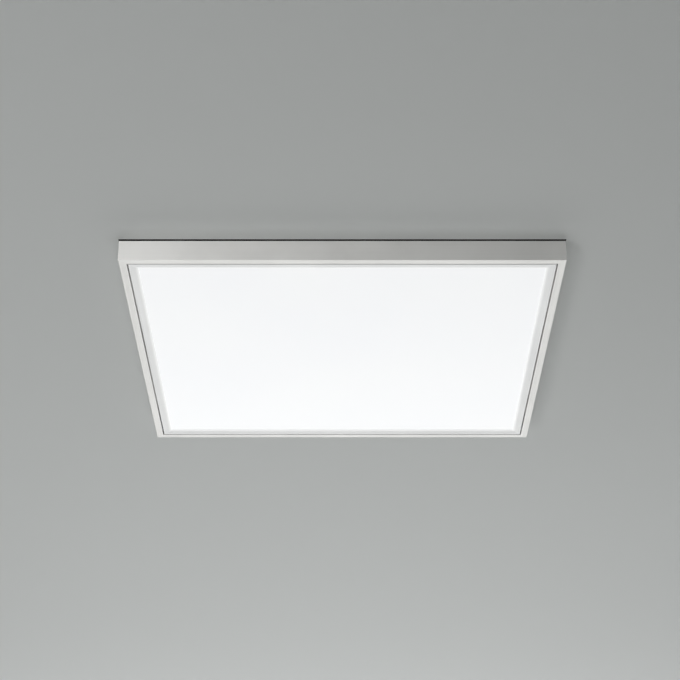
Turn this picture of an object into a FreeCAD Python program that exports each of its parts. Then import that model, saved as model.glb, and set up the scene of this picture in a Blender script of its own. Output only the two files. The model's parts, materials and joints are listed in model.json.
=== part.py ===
import FreeCAD, Part
import os
import re
from math import pi
import Sketcher

# Square flush mount ceiling light with an edge-lit LED panel.
# An anodised surface frame of four mitred rails is screwed to the ceiling.  The LED panel
# hangs in it on two hidden pivots at the rear and is held shut at the front by magnets.
# Millimetres, +Z up, origin in the ceiling plane over the middle of the light.
# The front is -Y.  "Level" in a name is a height above the lit face, which is local z = 0.

doc = FreeCAD.newDocument("ceiling_light")
sheet = doc.addObject("Spreadsheet::Sheet", "sizes")

driving_sizes = [
    # surface frame
    ("outer_width", 620.0, "surface frame, left to right"),
    ("outer_depth", 620.0, "surface frame, front to rear"),
    ("frame_height", 30.5, "side of the surface frame"),
    ("shadow_gap", 2.0, "ceiling to the top of the frame, and thickness of the gussets"),
    ("strip_width", 10.8, "flat strip of the frame seen from below"),
    ("reveal_gap", 1.7, "dark joint between strip and panel"),
    ("frame_wall", 1.8, "side wall of the rails"),
    ("strip_thick", 1.8, "wall behind the strip"),
    ("return_lip_height", 3.0, "turned-up edge of the strip"),
    ("return_lip_thick", 1.5, "thickness of that edge"),
    ("ceiling_flange_width", 14.0, "top flange, from the outer face"),
    ("ceiling_flange_thick", 1.8, "thickness of the top flange"),
    ("channel_level", 13.7, "floor of the key channel"),
    ("channel_height", 10.6, "clear height of the key channel"),
    ("channel_depth", 2.2, "wall to the hooks of the key channel"),
    ("channel_rib", 1.2, "ribs that form the key channel"),
    ("channel_hook", 1.2, "how far each hook closes the channel"),
    ("hook_thick", 1.0, "thickness of the hooks"),
    ("edge_break", 0.4, "broken outer edges of the rails"),
    # corner keys and gussets
    ("key_leg", 42.0, "leg of the corner key"),
    ("key_play", 0.1, "key to the walls of its channel"),
    ("key_screw_radius", 1.5, "grub screws of the keys"),
    ("key_screw_inset", 30.0, "grub screw from the corner"),
    ("gusset_inset", 4.0, "gusset back from the outer faces"),
    ("gusset_leg", 70.0, "gusset leg along the rail"),
    ("gusset_width", 30.0, "width of the gusset leg"),
    ("gusset_clip", 5.0, "clipped corners of the gusset"),
    ("ceiling_hole_radius", 2.6, "hole for the ceiling screw"),
    ("ceiling_hole_inset", 24.0, "ceiling hole from both outer faces"),
    ("gusset_screw_reach", 58.0, "gusset screw from the corner"),
    ("flange_screw_inset", 9.0, "screws in the top flange, from the outer face"),
    ("plate_screw_radius", 1.6, "thread radius of the plate screws"),
    ("plate_head_radius", 3.2, "head of the plate screws, across corners"),
    ("plate_head_height", 2.0, "height of that head"),
    ("thread_play", 0.05, "screw core to the wall of its hole"),
    # LED panel
    ("bezel_width", 4.5, "flat face of the panel frame"),
    ("bevel_width", 9.0, "sloping face of the panel frame"),
    ("bevel_rise", 1.8, "rise of the slope up to the diffuser"),
    ("lip_edge", 0.8, "thickness of the lip at its free edge"),
    ("panel_wall", 1.6, "side wall of the panel frame"),
    ("panel_flange_width", 9.0, "flange that carries the back plate"),
    ("panel_flange_thick", 1.0, "thickness of that flange"),
    ("diffuser_thick", 2.0, "opal diffuser"),
    ("diffuser_inset", 4.0, "diffuser back from the panel's sides"),
    ("guide_thick", 2.4, "light guide"),
    ("guide_inset", 3.5, "light guide back from the panel's sides"),
    ("film_thick", 0.3, "reflector film"),
    ("stack_play", 0.3, "room over the film, under the flange"),
    ("foam_play", 0.6, "foam back from the flange"),
    ("back_thick", 0.6, "back plate"),
    ("back_inset", 0.6, "back plate in from the panel's sides"),
    ("bead_rise", 1.2, "stiffening beads of the back plate"),
    ("bead_slope", 0.9, "sloping edge of a bead"),
    ("bead_width", 14.0, "width of a bead"),
    ("bead_length", 380.0, "length of a bead"),
    ("bead_spread", 170.0, "bead to the middle of the panel"),
    ("board_thick", 0.8, "LED board"),
    ("board_end", 24.0, "LED board short of the panel's corner"),
    ("board_play", 0.3, "LED board to lip and flange"),
    ("chip_length", 2.8, "LED along the board"),
    ("chip_height", 2.0, "LED across the board"),
    ("chip_depth", 0.7, "LED off the board"),
    ("panel_key_leg", 18.0, "leg of the panel's corner key"),
    ("panel_key_thick", 1.5, "thickness of that key"),
    ("back_screw_radius", 1.3, "small screws of back plate, brackets and covers"),
    ("back_head_radius", 2.6, "head of the small screws, across corners"),
    ("back_head_height", 1.3, "height of that head"),
    ("back_screw_inset", 5.5, "back plate screw from the panel's side"),
    ("back_screw_end", 60.0, "first back plate screw from the corner"),
    # pivots
    ("pivot_inset", 14.0, "pivot from the panel's rear side"),
    ("pivot_level", 6.0, "pivot above the lit face"),
    ("pin_radius", 1.5, "pivot pin"),
    ("pin_play", 0.08, "pin in its bracket, all round"),
    ("collar_radius", 2.4, "collar of the pin"),
    ("pin_tail", 1.2, "pin past its bracket"),
    ("running_gap", 0.3, "gap between pieces that move past each other"),
    ("clip_radius", 3.0, "retaining clip on the pin"),
    ("clip_thick", 0.6, "thickness of the clip"),
    ("bracket_thick", 2.0, "plate and arm of the brackets"),
    ("bracket_width", 18.0, "brackets along the rail"),
    ("bracket_foot_level", 2.6, "lower end of the pivot bracket"),
    ("bracket_screw_spread", 5.0, "bracket screw from the bracket's middle"),
    ("bracket_round", 3.6, "rounded corners of the brackets"),
    # magnet catches
    ("catch_end", 97.5, "catch from the panel's corner"),
    ("catch_inset", 13.0, "magnet from the panel's front side"),
    ("catch_plate_thick", 1.0, "steel plate on the panel"),
    ("catch_plate_size", 22.0, "side of that plate"),
    ("catch_plate_clip", 2.5, "clipped corners of that plate"),
    ("cup_radius", 8.0, "magnet cup"),
    ("cup_height", 5.0, "magnet cup"),
    ("cup_wall", 1.2, "wall of the cup"),
    # gear tray
    ("tray_width", 58.0, "gear tray"),
    ("tray_thick", 1.2, "sheet of the gear tray"),
    ("tray_flange", 6.0, "turned-down edges of the tray"),
    ("tray_flange_start", -96.0, "supply end of those edges, along the tray"),
    ("tray_lap", 9.0, "tray over the frame's flange"),
    ("tray_play", 1.5, "turned-down edge short of the flange"),
    ("tray_screw_spread", 18.0, "tray screw from the tray's middle line"),
    ("tray_slot_radius", 2.7, "ceiling slots of the tray"),
    ("tray_slot_length", 18.0, "ceiling slots, end to end"),
    ("tray_slot_spread", 250.0, "ceiling slot from the middle"),
    ("tray_vent_length", 60.0, "weight-saving openings of the tray"),
    ("tray_vent_width", 16.0, "weight-saving openings of the tray"),
    # supply side
    ("grommet_place", -212.0, "cable grommet along the tray"),
    ("grommet_hole", 8.0, "tray hole for the grommet"),
    ("grommet_bore", 5.0, "bore of the grommet"),
    ("grommet_rim", 10.5, "rim of the grommet"),
    ("grommet_barb", 9.2, "edge of the taper that holds the grommet in"),
    ("grommet_skirt", 3.0, "grommet below the tray"),
    ("clamp_place", -182.0, "cable clamp along the tray"),
    ("clamp_bore", 4.5, "inner radius of the clamp's arch"),
    ("clamp_thick", 2.0, "wall of the clamp"),
    ("clamp_width", 10.0, "clamp along the tray"),
    ("clamp_foot", 9.0, "each foot of the clamp"),
    ("block_place", -148.0, "terminal block along the tray"),
    ("block_length", 24.0, "terminal block along the tray"),
    ("block_width", 38.0, "terminal block across the tray"),
    ("block_height", 13.5, "terminal block"),
    ("block_ear", 8.0, "fixing ear of the block"),
    ("block_ear_width", 12.0, "fixing ear of the block"),
    ("block_ear_thick", 3.0, "thickness of the ear"),
    ("block_clip", 1.2, "broken edges of the block"),
    ("pole_pitch", 11.5, "pole to pole"),
    ("wire_entry_radius", 2.1, "wire entry"),
    ("wire_entry_depth", 8.0, "depth of a wire entry"),
    ("wire_entry_level", 7.2, "wire entry below the tray"),
    ("button_side", 5.4, "release button"),
    ("button_stand", 2.2, "button out of the block"),
    ("button_sunk", 4.6, "button in the block"),
    ("button_travel", 1.5, "stroke of a button"),
    ("well_spare", 0.5, "well deeper than the stroke needs"),
    ("button_slot", 1.0, "screwdriver slot of a button"),
    ("button_clip", 0.6, "broken edges of a button"),
    ("earth_place", -112.0, "earth screw along the tray"),
    ("earth_offset", 16.0, "earth screw off the tray's middle line"),
    # driver
    ("driver_place", 50.0, "middle of the driver along the tray"),
    ("driver_length", 190.0, "driver without its ears"),
    ("driver_width", 40.0, "driver"),
    ("driver_height", 16.0, "driver"),
    ("driver_lid_height", 3.0, "lower lid of the driver"),
    ("rib_depth", 1.0, "grooves between the lid's cooling ribs"),
    ("rib_margin", 18.0, "first groove from the end of the lid"),
    ("driver_cover_length", 26.0, "terminal cover at each end"),
    ("driver_cover_spread", 13.5, "cover screw from the driver's middle line"),
    ("driver_ear", 9.0, "fixing ear"),
    ("driver_ear_width", 20.0, "fixing ear"),
    ("driver_ear_thick", 3.0, "thickness of the ear"),
    ("driver_round", 3.0, "rounded corners of the driver"),
    # panel inlet
    ("socket_place", 225.0, "low-voltage inlet along the panel"),
    ("socket_length", 18.0, "low-voltage inlet"),
    ("socket_width", 14.0, "low-voltage inlet"),
    ("socket_height", 9.0, "low-voltage inlet"),
    ("socket_clip", 1.4, "broken upright edges of the inlet"),
    ("socket_bore", 2.8, "plug hole"),
    ("socket_depth", 9.5, "depth of the plug hole"),
]
for row, (word, value, note) in enumerate(driving_sizes, start=1):
    sheet.set("A%d" % row, word)
    sheet.set("B%d" % row, str(value))
    sheet.setAlias("B%d" % row, word)
    sheet.set("C%d" % row, note)
doc.recompute()

led_count = 48  # LEDs on each board
rib_groove_count = 12  # grooves across the driver's lid
tiny = 1e-4  # tolerance for finding edges
words = {word for word, value, note in driving_sizes}


# ---- drawing helpers --------------------------------------------------------------------

def of_sheet(formula):
    """The formula with each size in it looked up in the sheet."""
    def looked_up(hit):
        return "sizes." + hit.group() if hit.group() in words else hit.group()
    return re.sub(r"[a-z_]+", looked_up, formula)


def size(formula):
    """The formula's value with the sheet's present numbers."""
    found = sheet.evalExpression(formula)
    return float(getattr(found, "Value", found))


def new_body(label, at=("0", "0"), turn=0):
    """An empty body whose local z = 0 is the level of the lit face."""
    made = doc.addObject("PartDesign::Body", label)
    made.Label = label
    made.Placement = FreeCAD.Placement(
        FreeCAD.Vector(0, 0, 0), FreeCAD.Rotation(FreeCAD.Vector(0, 0, 1), turn))
    for axis, formula in zip("xyz", (*at, face_level)):
        made.setExpression("Placement.Base." + axis, of_sheet(formula))
    return made


def new_sketch(owner, plane, origin=("0", "0", "0")):
    """A sketch on one of the body's own planes; origin is in the plane's x, y and normal."""
    made = owner.newObject("Sketcher::SketchObject", "outline")
    support = next(f for f in owner.Origin.OriginFeatures if f.Role == plane)
    made.AttachmentSupport = [(support, "")]
    made.MapMode = "FlatFace"
    for axis, formula in zip("xyz", origin):
        if formula != "0":
            made.setExpression("AttachmentOffset.Base." + axis, of_sheet(formula))
    return made


def bind(sketch, kind, geometry, point, formula):
    place = (geometry, point) if point else (geometry,)
    number = sketch.addConstraint(Sketcher.Constraint(kind, *place, size(formula)))
    sketch.setExpression("Constraints[%d]" % number, of_sheet(formula))


def add_loop(sketch, points):
    """A closed outline of straight lines through points given as pairs of formulas."""
    first = sketch.GeometryCount
    corners = [FreeCAD.Vector(size(x), size(y), 0) for x, y in points]
    for here, there in zip(corners, corners[1:] + corners[:1]):
        sketch.addGeometry(Part.LineSegment(here, there))
    for i, (x, y) in enumerate(points):
        after = first + (i + 1) % len(points)
        sketch.addConstraint(Sketcher.Constraint("Coincident", first + i, 2, after, 1))
        bind(sketch, "DistanceX", first + i, 1, x)
        bind(sketch, "DistanceY", first + i, 1, y)


def add_rectangle(sketch, x, y, half_x, half_y):
    left, right = f"{x} - ({half_x})", f"{x} + {half_x}"
    low, high = f"{y} - ({half_y})", f"{y} + {half_y}"
    add_loop(sketch, [(left, low), (right, low), (right, high), (left, high)])


def add_hexagon(sketch, x, y, radius):
    """A hexagon with two corners on its x axis; radius is to the corners."""
    half, high = f"({radius}) / 2", f"({radius}) * sqrt(3) / 2"
    add_loop(sketch, [
        (f"{x} + {radius}", y), (f"{x} + {half}", f"{y} + {high}"), (f"{x} - {half}", f"{y} + {high}"),
        (f"{x} - ({radius})", y), (f"{x} - {half}", f"{y} - {high}"), (f"{x} + {half}", f"{y} - {high}"),
    ])


def add_circle(sketch, x, y, radius):
    centre = FreeCAD.Vector(size(x), size(y), 0)
    number = sketch.addGeometry(Part.Circle(centre, FreeCAD.Vector(0, 0, 1), size(radius)))
    bind(sketch, "DistanceX", number, 3, x)
    bind(sketch, "DistanceY", number, 3, y)
    bind(sketch, "Radius", number, 0, radius)


def add_slot(sketch, x, y, half_straight, radius):
    """A slot along x: two half circles joined by straight sides."""
    reach = FreeCAD.Vector(size(half_straight), 0, 0)
    wide = FreeCAD.Vector(0, size(radius), 0)
    middle = FreeCAD.Vector(size(x), size(y), 0)
    upward = FreeCAD.Vector(0, 0, 1)
    right_round = Part.Circle(middle + reach, upward, wide.y)
    left_round = Part.Circle(middle - reach, upward, wide.y)
    right = sketch.addGeometry(Part.ArcOfCircle(right_round, -pi / 2, pi / 2))
    top = sketch.addGeometry(Part.LineSegment(middle + reach + wide, middle - reach + wide))
    left = sketch.addGeometry(Part.ArcOfCircle(left_round, pi / 2, 3 * pi / 2))
    low = sketch.addGeometry(Part.LineSegment(middle - reach - wide, middle + reach - wide))
    for arc, sign in ((right, "+"), (left, "-")):
        bind(sketch, "DistanceX", arc, 3, f"{x} {sign} ({half_straight})")
        bind(sketch, "DistanceY", arc, 3, y)
        bind(sketch, "Radius", arc, 0, radius)
    for here, there in ((right, top), (top, left), (left, low), (low, right)):
        sketch.addConstraint(Sketcher.Constraint("Tangent", here, 2, there, 1))


def pad(owner, sketch, length, both_ways=False, other_way=False):
    made = owner.newObject("PartDesign::Pad", "pad")
    made.Profile = sketch
    made.Midplane = both_ways
    made.Reversed = other_way
    made.setExpression("Length", of_sheet(length))
    doc.recompute()
    return made


def pocket(owner, sketch, length, other_way=False, both_ways=False):
    """A cut that has to take something away."""
    doc.recompute()
    before = owner.Shape.Volume
    made = owner.newObject("PartDesign::Pocket", "cut")
    made.Profile = sketch
    made.Reversed = other_way
    made.Midplane = both_ways
    made.setExpression("Length", of_sheet(length))
    doc.recompute()
    if not owner.Shape.Volume < before:
        raise RuntimeError(owner.Label + ": a cut takes nothing away")
    return made


def turned(owner, profile, x="0", y="0"):
    """A solid of revolution about the upright line through x, y; the profile is radius, level."""
    sketch = new_sketch(owner, "XZ_Plane", (x, "0", f"-({y})"))
    add_loop(sketch, profile)
    made = owner.newObject("PartDesign::Revolution", "turned")
    made.Profile = sketch
    made.ReferenceAxis = (sketch, ["V_Axis"])
    made.Angle = 360
    doc.recompute()
    return made


def dress(owner, kind, amount, chosen):
    """A Fillet or Chamfer on the edges that chosen picks."""
    doc.recompute()
    base = owner.Tip
    names = ["Edge%d" % (i + 1) for i, edge in enumerate(base.Shape.Edges) if chosen(edge)]
    made = owner.newObject("PartDesign::" + kind, kind.lower())
    made.Base = (base, names)
    made.setExpression("Radius" if kind == "Fillet" else "Size", of_sheet(amount))
    doc.recompute()
    return made


def is_upright(edge):
    box = edge.BoundBox
    return box.XLength < tiny and box.YLength < tiny and box.ZLength > tiny


# ---- levels and places that follow from the sizes -----------------------------------------

face_level = "-(frame_height + shadow_gap)"
half_width = "outer_width / 2"
half_depth = "outer_depth / 2"
panel_inset = "(strip_width + reveal_gap)"
panel_half_width = f"(outer_width / 2 - {panel_inset})"
panel_half_depth = f"(outer_depth / 2 - {panel_inset})"

channel_top = "(channel_level + channel_height)"
hook_in = "(frame_wall + channel_depth)"
hook_out = "(frame_wall + channel_depth + hook_thick)"
key_out = "(frame_wall + key_play)"
key_in = "(frame_wall + channel_depth - key_play)"
key_bottom = "(channel_level + key_play)"
key_top = f"({channel_top} - key_play)"

lip_top = "(bevel_rise + lip_edge)"
guide_level = f"({lip_top} + diffuser_thick)"
film_level = f"({guide_level} + guide_thick)"
film_top = f"({film_level} + film_thick)"
flange_under = f"({film_top} + stack_play)"
back_level = f"({flange_under} + panel_flange_thick)"
panel_top = f"({back_level} + back_thick)"

bracket_face = "(strip_width - return_lip_thick - running_gap)"
pivot_place = f"({panel_half_depth} - pivot_inset)"
catch_arm_level = f"({panel_top} + catch_plate_thick + running_gap + cup_height)"

pivot_along = {"left": f"-{pivot_place}", "right": pivot_place}
catch_place = f"({panel_half_width} - catch_end)"
catch_along = {"left": f"-{catch_place}", "right": catch_place}
catch_depth = f"({panel_inset} + catch_inset - {half_depth})"
flange_low = "(frame_height - ceiling_flange_thick)"
foot_low = f"({flange_low} - bracket_thick)"
pivot_screw_inset = f"({bracket_face} + back_head_radius + 2 * key_play)"

tray_top = "(frame_height + tray_thick)"
tray_half_width = "(tray_width / 2)"
block_bottom = "(frame_height - block_height)"
driver_bottom = "(frame_height - driver_height)"
case_bottom = "(frame_height - driver_height + driver_lid_height)"

# the four sides: name, turn of the local frame, half length and distance from the middle
sides = {
    "front": (0, "outer_width / 2", "outer_depth / 2"),
    "rear": (180, "outer_width / 2", "outer_depth / 2"),
    "left": (-90, "outer_depth / 2", "outer_width / 2"),
    "right": (90, "outer_depth / 2", "outer_width / 2"),
}
inward = {"front": ("0", "-1"), "rear": ("0", "1"), "left": ("-1", "0"), "right": ("1", "0")}
corners = {
    "front_left": (0, "-1", "-1"),
    "front_right": (90, "1", "-1"),
    "rear_right": (180, "1", "1"),
    "rear_left": (-90, "-1", "1"),
}


def side_body(label, side, inset="0", along="0"):
    """A body whose x runs along a side of the frame and whose y points inward from it."""
    turn, half_length, distance = sides[side]
    out_x, out_y = inward[side]
    reach = f"({distance} - {inset})"
    # local x is world X, -X, -Y or +Y for the front, rear, left and right sides
    run_x, run_y = {"front": ("1", "0"), "rear": ("-1", "0"), "left": ("0", "-1"), "right": ("0", "1")}[side]
    at = (f"{out_x} * {reach} + {run_x} * ({along})", f"{out_y} * {reach} + {run_y} * ({along})")
    return new_body(label, at, turn)


def mitre(rail, half_length, reach, height):
    """Cuts both ends of a rail at 45 degrees, outer corner first."""
    sketch = new_sketch(rail, "XY_Plane")
    for sign in ("1", "-1"):
        tip = f"{sign} * ({half_length})"
        add_loop(sketch, [(tip, "0"), (tip, reach), (f"{sign} * ({half_length} - ({reach}))", reach)])
    pocket(rail, sketch, height, other_way=True)


def hexagon_screws(label, places, seat, tip, head_end, head="plate_head_radius", core="plate_screw_radius"):
    """Hexagon head screws: heads between seat and head_end, plain six-sided cores from seat to tip."""
    screws = new_body(label)
    for radius, end in ((head, head_end), (f"({core} - thread_play)", tip)):
        outline = new_sketch(screws, "XY_Plane", ("0", "0", seat))
        for x, y in places:
            add_hexagon(outline, x, y, radius)
        is_down = size(end) < size(seat)
        pad(screws, outline, f"abs({end} - ({seat}))", other_way=is_down)
    return screws


# ---- surface frame --------------------------------------------------------------------------

def frame_rail(side):
    """Extruded rail: side wall, visible strip with its turned-up edge, key channel, ceiling flange."""
    half_length = sides[side][1]
    rail = side_body("frame_rail_" + side, side)
    section = new_sketch(rail, "YZ_Plane")
    add_loop(section, [
        ("edge_break", "0"), ("strip_width", "0"), ("strip_width", "return_lip_height"),
        ("strip_width - return_lip_thick", "return_lip_height"),
        ("strip_width - return_lip_thick", "strip_thick"), ("frame_wall", "strip_thick"),
        ("frame_wall", "channel_level - channel_rib"), (hook_out, "channel_level - channel_rib"),
        (hook_out, "channel_level + channel_hook"), (hook_in, "channel_level + channel_hook"),
        (hook_in, "channel_level"), ("frame_wall", "channel_level"),
        ("frame_wall", channel_top), (hook_in, channel_top),
        (hook_in, f"{channel_top} - channel_hook"), (hook_out, f"{channel_top} - channel_hook"),
        (hook_out, f"{channel_top} + channel_rib"), ("frame_wall", f"{channel_top} + channel_rib"),
        ("frame_wall", "frame_height - ceiling_flange_thick"),
        ("ceiling_flange_width", "frame_height - ceiling_flange_thick"),
        ("ceiling_flange_width", "frame_height"), ("edge_break", "frame_height"),
        ("0", "frame_height - edge_break"), ("0", "edge_break"),
    ])
    pad(rail, section, f"2 * {half_length}", both_ways=True)
    mitre(rail, half_length, "ceiling_flange_width + strip_width", "frame_height + shadow_gap")
    holes = new_sketch(rail, "XY_Plane", ("0", "0", "frame_height"))
    for sign in ("1", "-1"):
        bracket_shift = f"{sign} * bracket_screw_spread"
        gusset_place = f"{sign} * ({half_length} - gusset_screw_reach)"
        add_circle(holes, gusset_place, "flange_screw_inset", "plate_screw_radius")
        if side in ("left", "right"):
            pivot_screw_place = f"{pivot_along[side]} + {bracket_shift}"
            add_circle(holes, f"{sign} * tray_screw_spread", "flange_screw_inset", "plate_screw_radius")
            add_circle(holes, pivot_screw_place, pivot_screw_inset, "back_screw_radius")
        if side == "front":
            for along in catch_along.values():
                add_circle(holes, f"{along} + {bracket_shift}", "flange_screw_inset", "back_screw_radius")
    pocket(rail, holes, "2 * ceiling_flange_thick")
    return rail


def corner_key(name):
    """Flat steel angle that slides into the channels of two rails."""
    turn, sign_x, sign_y = corners[name]
    key = new_body("corner_key_" + name, (f"{sign_x} * {half_width}", f"{sign_y} * {half_depth}"), turn)
    angle = new_sketch(key, "XY_Plane", ("0", "0", key_bottom))
    far = f"{key_out} + key_leg"
    add_loop(angle, [
        (key_out, key_out), (far, key_out), (far, key_in), (key_in, key_in), (key_in, far), (key_out, far),
    ])
    pad(key, angle, f"{key_top} - {key_bottom}")
    middle = "channel_level + channel_height / 2"
    for plane, backwards in (("XZ_Plane", False), ("YZ_Plane", True)):
        hole = new_sketch(key, plane)
        add_circle(hole, "key_screw_inset", middle, "key_screw_radius")
        pocket(key, hole, f"2 * {key_in}", other_way=backwards)
    return key


def corner_key_screws():
    """Grub screws that wedge the keys against the side walls."""
    screws = new_body("corner_key_screws")
    middle = "channel_level + channel_height / 2"
    depth = f"(frame_wall + {key_in}) / 2"
    length = f"{key_in} - frame_wall"
    for turn, sign_x, sign_y in corners.values():
        along_x = f"{sign_x} * ({half_width} - key_screw_inset)"
        along_y = f"{sign_y} * ({half_depth} - key_screw_inset)"
        for plane, along, place in (("XZ_Plane", along_x, f"-({sign_y}) * ({half_depth} - {depth})"),
                                    ("YZ_Plane", along_y, f"{sign_x} * ({half_width} - {depth})")):
            outline = new_sketch(screws, plane, ("0", "0", place))
            add_hexagon(outline, along, middle, "(key_screw_radius - thread_play)")
            pad(screws, outline, length, both_ways=True)
    return screws


def corner_gusset(name):
    """Flat corner plate on the flanges; its thickness makes the shadow gap."""
    turn, sign_x, sign_y = corners[name]
    plate = new_body("corner_gusset_" + name, (f"{sign_x} * {half_width}", f"{sign_y} * {half_depth}"), turn)
    outline = new_sketch(plate, "XY_Plane", ("0", "0", "frame_height"))
    near, wide, far = "gusset_inset", "gusset_inset + gusset_width", "gusset_inset + gusset_leg"
    add_loop(outline, [(near, near), (far, near), (far, wide), (wide, wide), (wide, far), (near, far)])
    pad(plate, outline, "shadow_gap")
    dress(plate, "Chamfer", "gusset_clip", is_upright)
    holes = new_sketch(plate, "XY_Plane", ("0", "0", "frame_height + shadow_gap"))
    add_circle(holes, "ceiling_hole_inset", "ceiling_hole_inset", "ceiling_hole_radius")
    add_circle(holes, "gusset_screw_reach", "flange_screw_inset", "plate_screw_radius")
    add_circle(holes, "flange_screw_inset", "gusset_screw_reach", "plate_screw_radius")
    pocket(plate, holes, "2 * shadow_gap")
    return plate


def gusset_screws():
    """Screws from below through the flanges into the threaded gussets, tips flush with their tops."""
    places = []
    for turn, sign_x, sign_y in corners.values():
        for inset_x, inset_y in (("gusset_screw_reach", "flange_screw_inset"),
                                 ("flange_screw_inset", "gusset_screw_reach")):
            x = f"{sign_x} * ({half_width} - {inset_x})"
            places.append((x, f"{sign_y} * ({half_depth} - {inset_y})"))
    tip = "frame_height + shadow_gap"
    return hexagon_screws("gusset_screws", places, flange_low, tip, f"{flange_low} - plate_head_height")


# ---- LED panel --------------------------------------------------------------------------------

def back_screw_places(half_length):
    """Three places along a side: the middle and one towards each end."""
    return [f"{sign} * ({half_length} - back_screw_end)" for sign in ("-1", "0", "1")]


def panel_rail(side):
    """Slim rail: flat bezel, slope up to the diffuser, side wall and the flange under the back plate."""
    half_length = f"({sides[side][1]} - {panel_inset})"
    rail = side_body("panel_rail_" + side, side, panel_inset)
    section = new_sketch(rail, "YZ_Plane")
    lip_reach = "bezel_width + bevel_width"
    add_loop(section, [
        ("edge_break", "0"), ("bezel_width", "0"), (lip_reach, "bevel_rise"), (lip_reach, lip_top),
        ("panel_wall", lip_top), ("panel_wall", flange_under), ("panel_flange_width", flange_under),
        ("panel_flange_width", back_level), ("0", back_level), ("0", "edge_break"),
    ])
    pad(rail, section, f"2 * {half_length}", both_ways=True)
    mitre(rail, half_length, f"{lip_reach} + panel_flange_width", "frame_height")
    holes = new_sketch(rail, "XY_Plane", ("0", "0", back_level))
    for place in back_screw_places(half_length):
        add_circle(holes, place, "back_screw_inset", "back_screw_radius")
    pocket(rail, holes, "2 * panel_flange_thick")
    if side in ("left", "right"):
        hole = new_sketch(rail, "XZ_Plane")
        sign = {"left": "-1", "right": "1"}[side]
        add_circle(hole, f"{sign} * {pivot_place}", "pivot_level", "pin_radius")
        pocket(rail, hole, "2 * panel_wall")
    return rail


def panel_corner_keys():
    """Small angles inside the corners of the panel frame."""
    keys = new_body("panel_corner_keys")
    sketch = new_sketch(keys, "XY_Plane", ("0", "0", f"{lip_top} + board_play"))
    for turn, sign_x, sign_y in corners.values():
        def spot(inset_x, inset_y):
            x = f"{sign_x} * ({panel_half_width} - ({inset_x}))"
            return x, f"{sign_y} * ({panel_half_depth} - ({inset_y}))"
        near = "panel_wall + key_play"
        thick = f"{near} + panel_key_thick"
        far = f"{near} + panel_key_leg"
        add_loop(sketch, [spot(near, near), spot(far, near), spot(far, thick),
                          spot(thick, thick), spot(thick, far), spot(near, far)])
    pad(keys, sketch, f"{flange_under} - {lip_top} - 2 * board_play")
    return keys


def sheet_layer(label, inset, level, thick):
    """A full sheet of the stack between the lip and the back plate."""
    layer = new_body(label)
    outline = new_sketch(layer, "XY_Plane", ("0", "0", level))
    add_rectangle(outline, "0", "0", f"{panel_half_width} - ({inset})", f"{panel_half_depth} - ({inset})")
    pad(layer, outline, thick)
    return layer


def led_board(side):
    """Narrow board on the inside of the side wall, facing the edge of the light guide."""
    board = side_body("led_board_" + side, side, panel_inset)
    outline = new_sketch(board, "XY_Plane", ("0", "0", f"{lip_top} + board_play"))
    half = f"{panel_half_width} - board_end"
    add_rectangle(outline, "0", "panel_wall + board_thick / 2", half, "board_thick / 2")
    pad(board, outline, f"{flange_under} - {lip_top} - 2 * board_play")
    return board


def led_chips(side):
    """The row of LEDs on a board, level with the middle of the light guide."""
    chips = side_body("led_chips_" + side, side, panel_inset)
    first = f"({panel_half_width} - board_end - 2 * chip_length)"
    off_wall = "panel_wall + board_thick + chip_depth / 2"
    outline = new_sketch(chips, "XY_Plane", ("0", "0", f"{guide_level} + guide_thick / 2"))
    add_rectangle(outline, f"-{first}", off_wall, "chip_length / 2", "chip_depth / 2")
    one = pad(chips, outline, "chip_height", both_ways=True)
    row = chips.newObject("PartDesign::LinearPattern", "row")
    row.Originals = [one]
    row.Direction = (next(f for f in chips.Origin.OriginFeatures if f.Role == "X_Axis"), [""])
    row.setExpression("Length", of_sheet(f"2 * {first}"))
    row.Occurrences = led_count
    chips.Tip = row
    doc.recompute()
    return chips


def back_plate():
    """Sheet steel cover with two stiffening beads pressed outwards."""
    plate = sheet_layer("back_plate", "back_inset", back_level, "back_thick")
    beads = new_sketch(plate, "XY_Plane", ("0", "0", panel_top))
    for sign in ("1", "-1"):
        add_slot(beads, "0", f"{sign} * bead_spread", "(bead_length - bead_width) / 2", "bead_width / 2")
    pad(plate, beads, "bead_rise")
    top = size(f"{panel_top} + bead_rise")
    dress(plate, "Chamfer", "bead_slope", lambda edge: edge.BoundBox.ZMin > top - tiny)
    holes = new_sketch(plate, "XY_Plane", ("0", "0", panel_top))
    for x, y in back_screw_spots():
        add_circle(holes, x, y, "back_screw_radius")
    pocket(plate, holes, "2 * back_thick")
    return plate


def back_screw_spots():
    side_x = f"({panel_half_width} - back_screw_inset)"
    side_y = f"({panel_half_depth} - back_screw_inset)"
    spots = []
    for sign in ("-1", "1"):
        spots += [(x, f"{sign} * {side_y}") for x in back_screw_places(panel_half_width)]
        spots += [(f"{sign} * {side_x}", y) for y in back_screw_places(panel_half_depth)]
    return spots


def back_plate_screws():
    tip = f"{flange_under} + running_gap / 2"
    head_end = f"{panel_top} + back_head_height"
    return hexagon_screws("back_plate_screws", back_screw_spots(), panel_top, tip, head_end,
                          "back_head_radius", "back_screw_radius")


def inlet_socket():
    """Low-voltage inlet that stands on the back plate, plug hole towards the driver."""
    socket = new_body("inlet_socket", ("socket_place", "0"))
    outline = new_sketch(socket, "XY_Plane", ("0", "0", panel_top))
    add_rectangle(outline, "0", "0", "socket_length / 2", "socket_width / 2")
    pad(socket, outline, "socket_height")
    dress(socket, "Chamfer", "socket_clip", is_upright)
    hole = new_sketch(socket, "YZ_Plane", ("0", "0", "-socket_length / 2"))
    add_circle(hole, "0", f"{panel_top} + socket_height / 2", "socket_bore")
    pocket(socket, hole, "socket_depth", other_way=True)
    return socket


# ---- pivots ---------------------------------------------------------------------------------

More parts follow.
